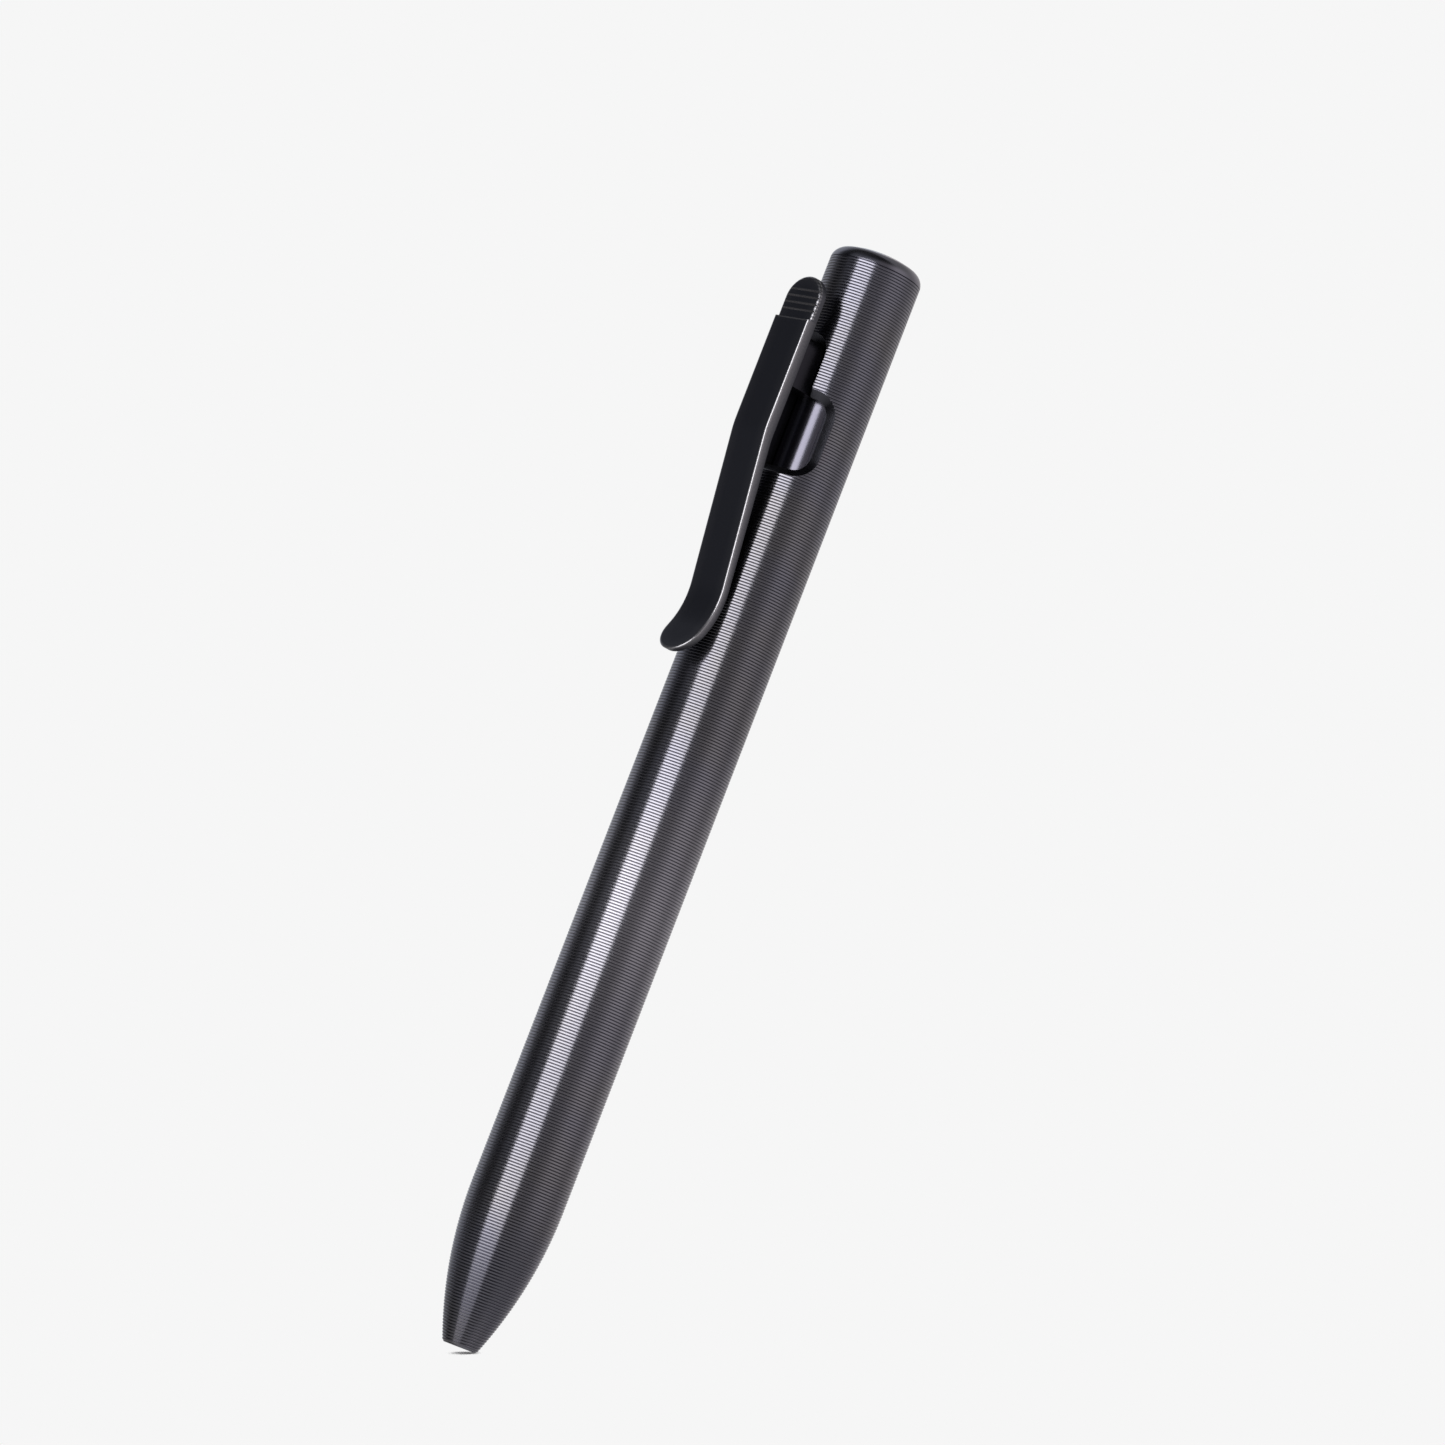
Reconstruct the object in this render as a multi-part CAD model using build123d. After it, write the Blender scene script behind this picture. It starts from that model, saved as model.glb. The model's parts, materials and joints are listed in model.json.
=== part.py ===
from build123d import *
import math
import os

# A clip action pen, in millimetres. Each piece is drawn with the pen standing on its nose: its axis
# is +Z, the clip is on the -Y side and the window on the +X side. At the end the pen is laid down,
# so that +X points out of its nose and +Z is up. The origin is the centre of the nose's flat face.

# Refill, from its point up
refill_diameter = 6.1
refill_length = 110.5
tip_recess = 4.6
ball_diameter = 0.7
point_mouth_diameter = 0.84
point_cone_length = 3.4
point_shank_diameter = 2.3
point_length = 12.0
holder_reach = 9.3
holder_wall = 0.85
holder_length = 5.1
holder_lip_width = 0.7
holder_plug_length = 3.5
tube_wall = 0.6
ink_fill_share = 0.755
follower_length = 4.0
rear_plug_cap = 1.5
rear_plug_length = 3.0
rear_vent_diameter = 1.0

# Refill spring
spring_wire = 0.36
spring_turns = 9
spring_end_gap = 0.06
spring_clearance = 0.17

# Fits
running_clearance = 0.05
slide_clearance = 0.1
seat_clearance = 0.02
nose_bore_clearance = 0.15
guide_ring_clearance = 0.03
clip_clearance = 0.35
stroke_clearance = 0.3

# Walls, from the refill outwards
cup_wall = 0.35
spigot_wall = 1.2
socket_wall = 1.42

# Nose
nose_taper_length = 19.45
nose_lip = 0.94
nose_edge_break = 0.15
tip_hole_break = 0.2
seam_height = 32.0
spigot_length = 8.0
spigot_lead_in = 0.4
socket_spare_depth = 0.6
oring_section = 0.56
oring_groove_width = 0.8
oring_groove_depth = 0.55
oring_setback = 0.35

# Top of the body
end_wall = 7.05
top_edge_radius = 1.7
top_crown_height = 0.35
bumper_thickness = 2.0
bumper_dimple_diameter = 2.0
bumper_dimple_depth = 0.8

# The slot that guides the clip, and the window that it turns into
clip_travel = 7.6
slot_width = 3.3
slot_run = 7.0
window_height = 9.2
window_angle = 56.5
window_corner_radius = 2.3
shoulder_softening = 0.15
rim_bevel = 0.95

# Slider
cup_depth = 3.1
cup_overlap = 1.1
slider_head = 4.2
slider_end_break = 0.25
bumper_gap = 0.1
guide_ring_width = 1.0
guide_ring_depth = 0.4
guide_ring_setback = 1.1
seat_thickness = 1.5
seat_margin = 0.45

# Post and boss that join the clip to the slider
post_length = 6.7
post_foot = 0.9
boss_gap = 0.33

# Clip
clip_width = 6.0
clip_thickness = 1.55
clip_bend_thickness = 1.05
clip_length = 49.05
clip_gap = 2.96
clip_slope = 8.7
clip_flare = 25.0
clip_bend_radius = 10.0
clip_tip_rise = 7.93
clip_knee_radius = 12.0
clip_knee_stagger = 1.0
clip_edge_break = 0.15
pad_reach = 6.75
pad_length = 5.62
pad_recess = 0.45
pad_notches = 4
pad_notch_pitch = 0.86
pad_notch_depth = 0.16
first_notch_share = 1.35

# Screws
clip_screw_diameter = 1.4
clip_screw_head_diameter = 2.2
clip_screw_head_height = 0.8
clip_screw_spacing = 2.4
clip_screw_setback = 1.3
clip_screw_bite = 0.8
retaining_screw_diameter = 1.6
retaining_screw_head_diameter = 2.6
retaining_screw_head_height = 1.2
retaining_screw_core = 3.0
retaining_screw_bite = 1.6
drive_width = 0.9
drive_depth = 0.5

cut_overrun = 1.0


def cylinder_between(radius, low, high, x=0.0, y=0.0):
    blank = Cylinder(radius, high - low, align=(Align.CENTER, Align.CENTER, Align.MIN))
    return Pos(x, y, low) * blank


def crosswise_cylinder(radius, near, far, height):
    # A cylinder that runs towards -Y, from near to far, at this height.
    blank = Cylinder(radius, far - near, align=(Align.CENTER, Align.CENTER, Align.MIN))
    return Pos(0, -near, height) * Rot(90, 0, 0) * blank


def box_between(half_width, near, far, low, high):
    # A box that is centred on X and lies between two distances towards -Y.
    blank = Box(2 * half_width, far - near, high - low, align=(Align.CENTER, Align.MAX, Align.MIN))
    return Pos(0, -near, low) * blank


def revolved(edges):
    # The closed outline is drawn with its distance from the axis along X, and its height along Z.
    return revolve(Plane.XZ * make_face(edges), axis=Axis.Z)


# Radii, from the refill outwards
refill_radius = refill_diameter / 2
cup_radius = refill_radius + slide_clearance
slider_radius = cup_radius + cup_wall
bore_radius = slider_radius + slide_clearance
nose_bore_radius = refill_radius + nose_bore_clearance
spigot_radius = nose_bore_radius + spigot_wall
socket_radius = spigot_radius + running_clearance
body_radius = socket_radius + socket_wall
shank_radius = point_shank_diameter / 2
tip_hole_radius = shank_radius + slide_clearance
holder_radius = shank_radius + holder_wall
spring_radius = holder_radius + spring_clearance + spring_wire / 2
pocket_radius = spring_radius + spring_wire / 2 + spring_clearance
slot_radius = slot_width / 2
post_radius = slot_radius - slide_clearance

# Heights, from the refill's point up
holder_low = tip_recess + holder_reach
holder_lip = holder_low + holder_length
tube_low = holder_lip + holder_lip_width
refill_top = tip_recess + refill_length
tube_high = refill_top - rear_plug_cap
tip_hole_top = holder_low - clip_travel - stroke_clearance
pocket_top = holder_lip - clip_travel - 2 * stroke_clearance
spigot_top = seam_height + spigot_length
slider_bottom = refill_top - cup_depth
window_bottom = slider_bottom + cup_overlap
window_top = window_bottom + window_height
slot_top = window_top + slot_run
post_top = slot_top - slide_clearance
post_bottom = post_top - post_length
slider_top = post_top + slider_head
bumper_bottom = slider_top + bumper_gap
bore_top = bumper_bottom + bumper_thickness
pen_length = bore_top + end_wall
clip_top = post_top + pad_reach
clip_tip = clip_top - clip_length
pad_step = clip_top - pad_length

# Distances from the axis towards -Y
clip_back = body_radius + clip_gap
clip_face = clip_back + clip_thickness
pad_face = clip_face - pad_recess
post_joint = body_radius + boss_gap
retaining_screw_offset = cup_radius - retaining_screw_head_diameter / 2 - running_clearance


def nose_section():
    flat_radius = tip_hole_radius + nose_lip
    taper = TangentArc((body_radius, nose_taper_length), (flat_radius, 0), tangent=(0, -1))
    outline = [
        taper,
        Line((flat_radius, 0), (0, 0)),
        Line((0, 0), (0, seam_height)),
        Line((0, seam_height), (body_radius, seam_height)),
        Line((body_radius, seam_height), (body_radius, nose_taper_length)),
    ]
    shell = revolved(outline)
    shell = chamfer(shell.faces().sort_by(Axis.Z)[0].edges(), nose_edge_break)
    spigot = cylinder_between(spigot_radius, seam_height, spigot_top)
    spigot = chamfer(spigot.faces().sort_by(Axis.Z)[-1].edges(), spigot_lead_in)
    nose = shell + spigot
    groove_low = seam_height + oring_setback
    groove_high = groove_low + oring_groove_width
    groove = cylinder_between(body_radius, groove_low, groove_high)
    groove -= cylinder_between(spigot_radius - oring_groove_depth, groove_low, groove_high)
    nose -= groove
    nose -= cylinder_between(tip_hole_radius, -cut_overrun, tip_hole_top)
    nose -= cylinder_between(pocket_radius, tip_hole_top, pocket_top)
    nose -= cylinder_between(nose_bore_radius, pocket_top, spigot_top + cut_overrun)
    mouth = nose.faces().sort_by(Axis.Z)[0].edges().sort_by(SortBy.LENGTH)[0]
    return chamfer(mouth, tip_hole_break)


def nose_oring():
    # Squeezed a little, so that it only just fills the gap to the socket.
    ring_radius = socket_radius - seat_clearance - oring_section / 2
    height = seam_height + oring_setback + oring_groove_width / 2
    return Pos(0, 0, height) * Torus(ring_radius, oring_section / 2)


def opening_cutter():
    # The slot and the window go through the wall, with radial sides at the window's far end.
    arch_centre = slot_top - slot_radius
    reach = body_radius + cut_overrun
    core = slider_radius - running_clearance
    slot = box_between(slot_radius, 0, reach, window_bottom, arch_centre)
    slot += crosswise_cylinder(slot_radius, 0, reach, arch_centre)
    sector = make_face(Polyline((0, window_bottom), (reach, window_bottom), (reach, window_top),
                                (0, window_top), (0, window_bottom)))
    window = revolve(Plane.XZ * sector, axis=Axis.Z, revolution_arc=window_angle)
    window = Rot(0, 0, -90) * window
    far_way = Vector(math.sin(math.radians(window_angle)), -math.cos(math.radians(window_angle)), 0)
    far_edges = [edge for edge in window.edges()
                 if edge.geom_type == GeomType.LINE and abs((edge % 0.5).dot(far_way)) > 0.999
                 and (edge @ 0.5).dot(far_way) > 0]
    window = fillet(far_edges, window_corner_radius)
    return slot + window - cylinder_between(core, window_bottom - cut_overrun, slot_top + cut_overrun)


def barrel_body():
    crown_low = pen_length - top_crown_height
    crown = ThreePointArc((-body_radius, crown_low), (0, pen_length), (body_radius, crown_low))
    crown_mid = crown @ 0.75
    outline = [
        ThreePointArc((0, pen_length), (crown_mid.X, crown_mid.Y), (body_radius, crown_low)),
        Line((body_radius, crown_low), (body_radius, seam_height)),
        Line((body_radius, seam_height), (0, seam_height)),
        Line((0, seam_height), (0, pen_length)),
    ]
    body = revolved(outline)
    rounded = [edge for edge in body.edges() if edge.geom_type == GeomType.CIRCLE
               and abs((edge @ 0).Z - crown_low) < seat_clearance]
    body = fillet(rounded, top_edge_radius)
    body -= cylinder_between(bore_radius, seam_height - cut_overrun, bore_top)
    socket_top = spigot_top + socket_spare_depth
    body -= cylinder_between(socket_radius, seam_height - cut_overrun, socket_top)
    body -= opening_cutter()
    corner = [edge for edge in body.edges() if edge.geom_type == GeomType.LINE
              and abs((edge @ 0.5).Z - window_top) < seat_clearance
              and abs((edge @ 0.5).X - slot_radius) < seat_clearance
              and abs((edge % 0.5).Z) < 0.1]
    body = fillet(corner, rim_bevel + shoulder_softening)
    rim = []
    for edge in body.edges():
        spots = [edge @ share for share in (0, 0.5, 1)]
        on_skin = all(abs(math.hypot(spot.X, spot.Y) - body_radius) < seat_clearance for spot in spots)
        if on_skin and window_bottom - cut_overrun < spots[1].Z < slot_top + cut_overrun:
            rim.append(edge)
    return chamfer(rim, rim_bevel)


def top_bumper():
    radius = bore_radius - slide_clearance
    puck = cylinder_between(radius, bumper_bottom, bore_top)
    dimple = cylinder_between(bumper_dimple_diameter / 2, bumper_bottom - cut_overrun,
                              bumper_bottom + bumper_dimple_depth)
    return puck - dimple


def post_block(half_width, near, far, low, high):
    # Square at its lower end and round at its upper end, like the slot that it slides in.
    arch_centre = high - half_width
    block = box_between(half_width, near, far, low, arch_centre)
    return block + crosswise_cylinder(half_width, near, far, arch_centre)


def clip_screw_heights():
    upper = post_top - clip_screw_setback
    return [upper - clip_screw_spacing, upper]


def slider_sleeve():
    sleeve = cylinder_between(slider_radius, slider_bottom, slider_top)
    sleeve = chamfer(sleeve.edges().filter_by(GeomType.CIRCLE), slider_end_break)
    groove_high = slider_top - guide_ring_setback
    groove_low = groove_high - guide_ring_width
    groove = cylinder_between(slider_radius + cut_overrun, groove_low, groove_high)
    groove -= cylinder_between(slider_radius - guide_ring_depth, groove_low, groove_high)
    sleeve -= groove
    sleeve -= cylinder_between(cup_radius, slider_bottom - cut_overrun, refill_top)
    seat_top = refill_top + seat_thickness
    sleeve -= cylinder_between(refill_radius - seat_margin + seat_clearance, refill_top, seat_top)
    pocket_low = post_bottom - seat_clearance
    head_top = pocket_low - retaining_screw_core
    head_radius = retaining_screw_head_diameter / 2 + running_clearance
    hole_radius = retaining_screw_diameter / 2 + running_clearance
    sleeve -= cylinder_between(head_radius, refill_top, head_top, y=-retaining_screw_offset)
    sleeve -= cylinder_between(hole_radius, head_top, pocket_low + running_clearance,
                               y=-retaining_screw_offset)
    pocket = post_block(post_radius + seat_clearance, post_foot - seat_clearance,
                        slider_radius + cut_overrun, pocket_low, post_top + seat_clearance)
    return sleeve - pocket


def guide_ring():
    high = slider_top - guide_ring_setback - seat_clearance
    low = slider_top - guide_ring_setback - guide_ring_width + seat_clearance
    outer = cylinder_between(bore_radius - guide_ring_clearance, low, high)
    return outer - cylinder_between(slider_radius - guide_ring_depth + seat_clearance, low, high)


def refill_seat():
    return cylinder_between(refill_radius - seat_margin, refill_top, refill_top + seat_thickness)


def clip_post():
    post = post_block(post_radius, post_foot, post_joint, post_bottom, post_top)
    for height in clip_screw_heights():
        post -= crosswise_cylinder(clip_screw_head_diameter / 2 + running_clearance,
                                   post_foot - cut_overrun, post_foot + clip_screw_head_height, height)
        post -= crosswise_cylinder(clip_screw_diameter / 2 + running_clearance,
                                   post_foot, post_joint + cut_overrun, height)
    tapped_top = post_bottom + retaining_screw_bite + running_clearance
    return post - cylinder_between(retaining_screw_diameter / 2 + seat_clearance,
                                   post_bottom - cut_overrun, tapped_top, y=-retaining_screw_offset)


def clip_screws():
    # Two cap screws go up through the post's foot and bite into the clip's boss.
    point = clip_back + clip_screw_bite
    screws = []
    for height in clip_screw_heights():
        head = crosswise_cylinder(clip_screw_head_diameter / 2, post_foot,
                                  post_foot + clip_screw_head_height, height)
        shank = crosswise_cylinder(clip_screw_diameter / 2, post_foot, point, height)
        drive = Pos(0, -post_foot, height) * Rot(90, 0, 0) * extrude(
            RegularPolygon(drive_width / 2, 6), drive_depth)
        screws.append(head + shank - drive)
    return screws


def retaining_screw():
    # It goes up through the slider's core into the post's foot, and is reached from the front.
    shank_top = post_bottom + retaining_screw_bite
    head_top = post_bottom - seat_clearance - retaining_screw_core
    head_low = head_top - retaining_screw_head_height
    head = cylinder_between(retaining_screw_head_diameter / 2, head_low, head_top,
                            y=-retaining_screw_offset)
    shank = cylinder_between(retaining_screw_diameter / 2, head_low, shank_top,
                             y=-retaining_screw_offset)
    drive = Pos(0, -retaining_screw_offset, head_low) * extrude(
        RegularPolygon(drive_width / 2, 6), drive_depth)
    return head + shank - drive


def clip_side_outline():
    # Drawn with the distance from the pen's axis along X, and the height along Y. From the knee down
    # to the bend the clip gets thinner.
    slope = math.radians(clip_slope)
    flare = math.radians(clip_flare)
    lowest_face = body_radius + clip_clearance + clip_bend_thickness
    centre = (lowest_face + clip_bend_radius, clip_tip + clip_tip_rise)

    def on_bend(radius, angle):
        return (centre[0] - radius * math.cos(angle), centre[1] + radius * math.sin(angle))

    outer = [on_bend(clip_bend_radius, angle) for angle in (slope, 0, -flare)]
    run = (clip_face - outer[0][0]) / math.sin(slope)
    outer_knee = (clip_face, outer[0][1] + run * math.cos(slope))
    inner_knee = (clip_back, outer_knee[1] - clip_knee_stagger)
    # The inner line runs from its knee to where it only touches the bend.
    inner_radius = clip_bend_radius + clip_bend_thickness
    away = (centre[0] - inner_knee[0], inner_knee[1] - centre[1])
    touch = math.atan2(away[1], away[0]) - math.acos(inner_radius / math.hypot(away[0], away[1]))
    inner = [on_bend(inner_radius, angle) for angle in (touch, 0, -flare)]
    tip_run = (outer[2][1] - clip_tip) / math.cos(flare) + clip_thickness
    tip_step = (tip_run * math.sin(flare), -tip_run * math.cos(flare))
    outer_tip = (outer[2][0] + tip_step[0], outer[2][1] + tip_step[1])
    inner_tip = (inner[2][0] + tip_step[0], inner[2][1] + tip_step[1])
    return [
        Line((clip_back, clip_top), (pad_face, clip_top)),
        Line((pad_face, clip_top), (pad_face, pad_step)),
        Line((pad_face, pad_step), (clip_face, pad_step)),
        Line((clip_face, pad_step), outer_knee),
        Line(outer_knee, outer[0]),
        ThreePointArc(outer[0], outer[1], outer[2]),
        Line(outer[2], outer_tip),
        Line(outer_tip, inner_tip),
        Line(inner_tip, inner[2]),
        ThreePointArc(inner[2], inner[1], inner[0]),
        Line(inner[0], inner_knee),
        Line(inner_knee, (clip_back, clip_top)),
    ], outer_knee, inner_knee


def clip():
    edges, outer_knee, inner_knee = clip_side_outline()
    side = make_face(edges)
    knees = [spot for spot in side.vertices()
             if min(math.hypot(spot.X - knee[0], spot.Y - knee[1]) for knee in (outer_knee, inner_knee))
             < seat_clearance]
    side = fillet(knees, clip_knee_radius)
    # The outline's own X becomes -Y, and its own Y becomes +Z.
    blank = extrude(Plane(origin=(0, 0, 0), x_dir=(0, -1, 0), z_dir=(-1, 0, 0)) * side,
                    clip_width, both=True)
    plan_length = clip_top - clip_tip
    plan = Plane.XZ * Pos(0, clip_tip + plan_length / 2) * SlotOverall(plan_length, clip_width,
                                                                      rotation=90)
    reach = clip_face + clip_bend_radius
    blank &= extrude(plan, reach)
    blank = chamfer(clip_rim(blank), clip_edge_break)
    for count in range(pad_notches):
        height = pad_step + (count + first_notch_share) * pad_notch_pitch
        notch = Box(clip_width + cut_overrun, pad_notch_depth * math.sqrt(2),
                    pad_notch_depth * math.sqrt(2))
        blank -= Pos(0, -pad_face, height) * Rot(45, 0, 0) * notch
    boss = post_block(post_radius, post_joint, clip_back, post_bottom, post_top)
    joined = blank + boss
    for height in clip_screw_heights():
        joined -= crosswise_cylinder(clip_screw_diameter / 2 + seat_clearance, post_joint - cut_overrun,
                                     clip_back + clip_screw_bite + running_clearance, height)
    return joined


def clip_rim(blank):
    # Every edge of the outer and inner faces, apart from those that only cross the clip.
    rim = []
    for edge in blank.edges():
        along = edge % 0.5
        if abs(along.X) < 0.999:
            rim.append(edge)
    return rim


def refill_point():
    ball_top = tip_recess + ball_diameter
    mouth = tip_recess + ball_diameter / 4
    cone_top = tip_recess + point_cone_length
    outline = Polyline((0, mouth), (point_mouth_diameter / 2, mouth), (shank_radius, cone_top),
                       (shank_radius, tip_recess + point_length), (0, tip_recess + point_length),
                       (0, mouth))
    point = revolved(outline)
    socket = Pos(0, 0, ball_top - ball_diameter / 2) * Sphere(ball_diameter / 2 + seat_clearance)
    return point - socket


def writing_ball():
    return Pos(0, 0, tip_recess + ball_diameter / 2) * Sphere(ball_diameter / 2)


tube_bore_radius = refill_radius - tube_wall


def refill_tip_holder():
    holder = cylinder_between(holder_radius, holder_low, holder_lip)
    holder = chamfer(holder.faces().sort_by(Axis.Z)[0].edges(), tube_wall)
    holder += cylinder_between(refill_radius, holder_lip, tube_low)
    holder += cylinder_between(tube_bore_radius - seat_clearance, tube_low, tube_low + holder_plug_length)
    point_end = tip_recess + point_length + seat_clearance
    holder -= cylinder_between(shank_radius + seat_clearance, holder_low - cut_overrun, point_end)
    return holder - cylinder_between(rear_vent_diameter / 2, point_end,
                                     tube_low + holder_plug_length + cut_overrun)


def refill_tube():
    return (cylinder_between(refill_radius, tube_low, tube_high)
            - cylinder_between(tube_bore_radius, tube_low - cut_overrun, tube_high + cut_overrun))


ink_low = tube_low + holder_plug_length
ink_high = ink_low + ink_fill_share * (tube_high - rear_plug_length - ink_low)


def refill_ink():
    return cylinder_between(tube_bore_radius - seat_clearance, ink_low, ink_high)


def refill_follower():
    return cylinder_between(tube_bore_radius - seat_clearance, ink_high, ink_high + follower_length)


def refill_rear_plug():
    plug = cylinder_between(refill_radius, tube_high, refill_top)
    plug += cylinder_between(tube_bore_radius - seat_clearance, tube_high - rear_plug_length, tube_high)
    return plug - cylinder_between(rear_vent_diameter / 2, tube_high - rear_plug_length - cut_overrun,
                                   refill_top + cut_overrun)


def refill_spring():
    # One wire in a steady helix between the nose's seat and the refill's lip.
    low = tip_hole_top + spring_end_gap + spring_wire / 2
    high = holder_lip - spring_end_gap - spring_wire / 2
    pitch = (high - low) / spring_turns
    path = Pos(0, 0, low) * Helix(pitch, high - low, spring_radius)
    gap = pitch * math.cos(math.atan(pitch / (2 * math.pi * spring_radius))) - spring_wire
    print("least gap between the spring's turns", round(gap, 3))
    section = Plane(path @ 0, z_dir=path % 0) * Circle(spring_wire / 2)
    return sweep(section, path=path)


pieces = {
    "barrel_body": barrel_body,
    "top_bumper": top_bumper,
    "refill_spring": refill_spring,
    "nose_oring": nose_oring,
    "nose_section": nose_section,
    "slider_sleeve": slider_sleeve,
    "guide_ring": guide_ring,
    "refill_seat": refill_seat,
    "clip": clip,
    "clip_post": clip_post,
    "clip_screws": clip_screws,
    "retaining_screw": retaining_screw,
    "refill_tube": refill_tube,
    "refill_ink": refill_ink,
    "refill_follower": refill_follower,
    "refill_rear_plug": refill_rear_plug,
    "refill_tip_holder": refill_tip_holder,
    "refill_point": refill_point,
    "writing_ball": writing_ball,
}

laid_down = Rot(0, -90, 0)

os.makedirs("parts", exist_ok=True)
for name, make in pieces.items():
    made = make()
    solids = made if isinstance(made, list) else [made]
    solids = [laid_down * solid for shape in solids for solid in shape.solids()]
    shape = solids[0] if len(solids) == 1 else Compound(children=solids)
    export_step(shape, "parts/" + name + ".step")
    print(name, len(solids), round(sum(solid.volume for solid in solids), 2))
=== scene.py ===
import json
import math

import bmesh
import bpy
from mathutils import Matrix, Vector

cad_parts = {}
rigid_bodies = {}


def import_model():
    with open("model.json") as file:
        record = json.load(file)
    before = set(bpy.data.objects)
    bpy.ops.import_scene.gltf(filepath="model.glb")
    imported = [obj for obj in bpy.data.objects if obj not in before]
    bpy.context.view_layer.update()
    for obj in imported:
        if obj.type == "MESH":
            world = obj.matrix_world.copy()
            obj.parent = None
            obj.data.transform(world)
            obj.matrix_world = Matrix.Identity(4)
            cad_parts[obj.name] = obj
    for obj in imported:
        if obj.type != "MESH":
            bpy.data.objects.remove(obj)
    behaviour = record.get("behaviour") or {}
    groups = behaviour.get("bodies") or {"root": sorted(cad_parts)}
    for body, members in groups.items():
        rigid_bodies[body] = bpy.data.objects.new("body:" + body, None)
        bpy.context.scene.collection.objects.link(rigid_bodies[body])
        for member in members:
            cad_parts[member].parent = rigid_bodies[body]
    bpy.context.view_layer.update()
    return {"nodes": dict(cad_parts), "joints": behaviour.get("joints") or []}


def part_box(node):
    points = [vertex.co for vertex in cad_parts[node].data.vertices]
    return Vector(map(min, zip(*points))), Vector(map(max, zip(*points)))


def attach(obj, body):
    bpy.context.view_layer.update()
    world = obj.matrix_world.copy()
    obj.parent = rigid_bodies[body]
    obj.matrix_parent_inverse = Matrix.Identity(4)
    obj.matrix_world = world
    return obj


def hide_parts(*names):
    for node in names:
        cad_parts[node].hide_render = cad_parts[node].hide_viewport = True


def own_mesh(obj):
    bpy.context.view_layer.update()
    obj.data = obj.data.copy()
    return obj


# A clip action pen. The frame is in metres: +X points out of the nose along the pen's axis,
# the clip stands on the -Y side, and the window is on the +Z side of it.

for leftOver in list(bpy.data.objects):
    bpy.data.objects.remove(leftOver)

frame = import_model()
nodes = frame["nodes"]
mm = 0.001
print("frame loaded")


# Places on the pen: a height above the nose's flat end, a distance from the axis and a turn about it.
# The clip is at turn 0 and the window's middle is a little under 30 degrees on. Sizes are in millimetres.
def onPen(height, radius, turn):
    return Vector((-height * mm, -radius * math.cos(turn) * mm, radius * math.sin(turn) * mm))


def heightsOf(node):
    low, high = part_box(node)
    return -high.x / mm, -low.x / mm


def reachOf(node):
    # how far the node reaches from the axis towards the clip's side
    return -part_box(node)[0].y / mm


# The clearances that pieces share, in millimetres, and how far a cut runs past what it cuts
fits = {"seat": 0.02, "running": 0.05, "slide": 0.1, "noseBore": 0.15, "stroke": 0.3, "springSide": 0.17,
        "springEnd": 0.06, "overrun": 1.0}
# so many millimetres count as none
nearly = 0.01

# The main sizes, read from the frame
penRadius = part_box("barrel_body")[1].z / mm
seamHeight, penTop = heightsOf("barrel_body")
spigotTop = heightsOf("nose_section")[1]
bumperTop = heightsOf("top_bumper")[1]
boreRadius = reachOf("top_bumper") + fits["slide"]
sliderBottom, sliderTop = heightsOf("slider_sleeve")
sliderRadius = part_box("slider_sleeve")[1].z / mm
clipTip, clipTop = heightsOf("clip")
clipFace = reachOf("clip")
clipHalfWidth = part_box("clip")[1].z / mm
postBottom, postTop = heightsOf("clip_post")
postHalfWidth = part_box("clip_post")[1].z / mm
postJoint = reachOf("clip_post")
refillTop = heightsOf("refill_rear_plug")[1]
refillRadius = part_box("refill_tube")[1].z / mm
springLow, springHigh = heightsOf("refill_spring")
clipTravel = next(j for j in frame["joints"] if j["name"] == "clip_slide")["range_m"][1] / mm


# Making meshes
def addPiece(name, verts, faces):
    mesh = bpy.data.meshes.new(name)
    mesh.from_pydata([tuple(v) for v in verts], [], faces)
    mesh.update()
    piece = bpy.data.objects.new(name, mesh)
    bpy.context.scene.collection.objects.link(piece)
    return piece


def tidyMesh(piece, mergeDistance=0.0005):
    # closes up doubled points, this many millimetres apart, and turns every face outwards
    work = bmesh.new()
    work.from_mesh(piece.data)
    bmesh.ops.remove_doubles(work, verts=work.verts, dist=mergeDistance * mm)
    bmesh.ops.dissolve_degenerate(work, edges=work.edges, dist=mergeDistance * mm)
    bmesh.ops.recalc_face_normals(work, faces=work.faces)
    work.to_mesh(piece.data)
    work.free()
    return piece


def shade(piece, sharpDegrees):
    # Smooth faces, with a sharp edge wherever two of them meet at more than this angle or differ in finish.
    piece.data.shade_smooth()
    work = bmesh.new()
    work.from_mesh(piece.data)
    for edge in work.edges:
        finishesMet = {face.material_index for face in edge.link_faces}
        edge.smooth = len(finishesMet) == 1 and edge.calc_face_angle(0) < math.radians(sharpDegrees)
    work.to_mesh(piece.data)
    work.free()
    return piece


def turned(name, profile, segments):
    # A solid of revolution from a closed outline of (height, radius).
    verts, rings = [], []
    for height, radius in profile:
        if radius == 0:
            rings.append([len(verts)] * segments)
            verts.append(onPen(height, 0, 0))
        else:
            rings.append(range(len(verts), len(verts) + segments))
            verts += [onPen(height, radius, 2 * math.pi * j / segments) for j in range(segments)]
    faces = []
    for ring, nextRing in zip(rings, rings[1:] + rings[:1]):
        for j in range(segments):
            k = (j + 1) % segments
            corners = list(dict.fromkeys((ring[j], ring[k], nextRing[k], nextRing[j])))
            if len(corners) > 2:
                faces.append(corners)
    return tidyMesh(addPiece(name, verts, faces))


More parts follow.
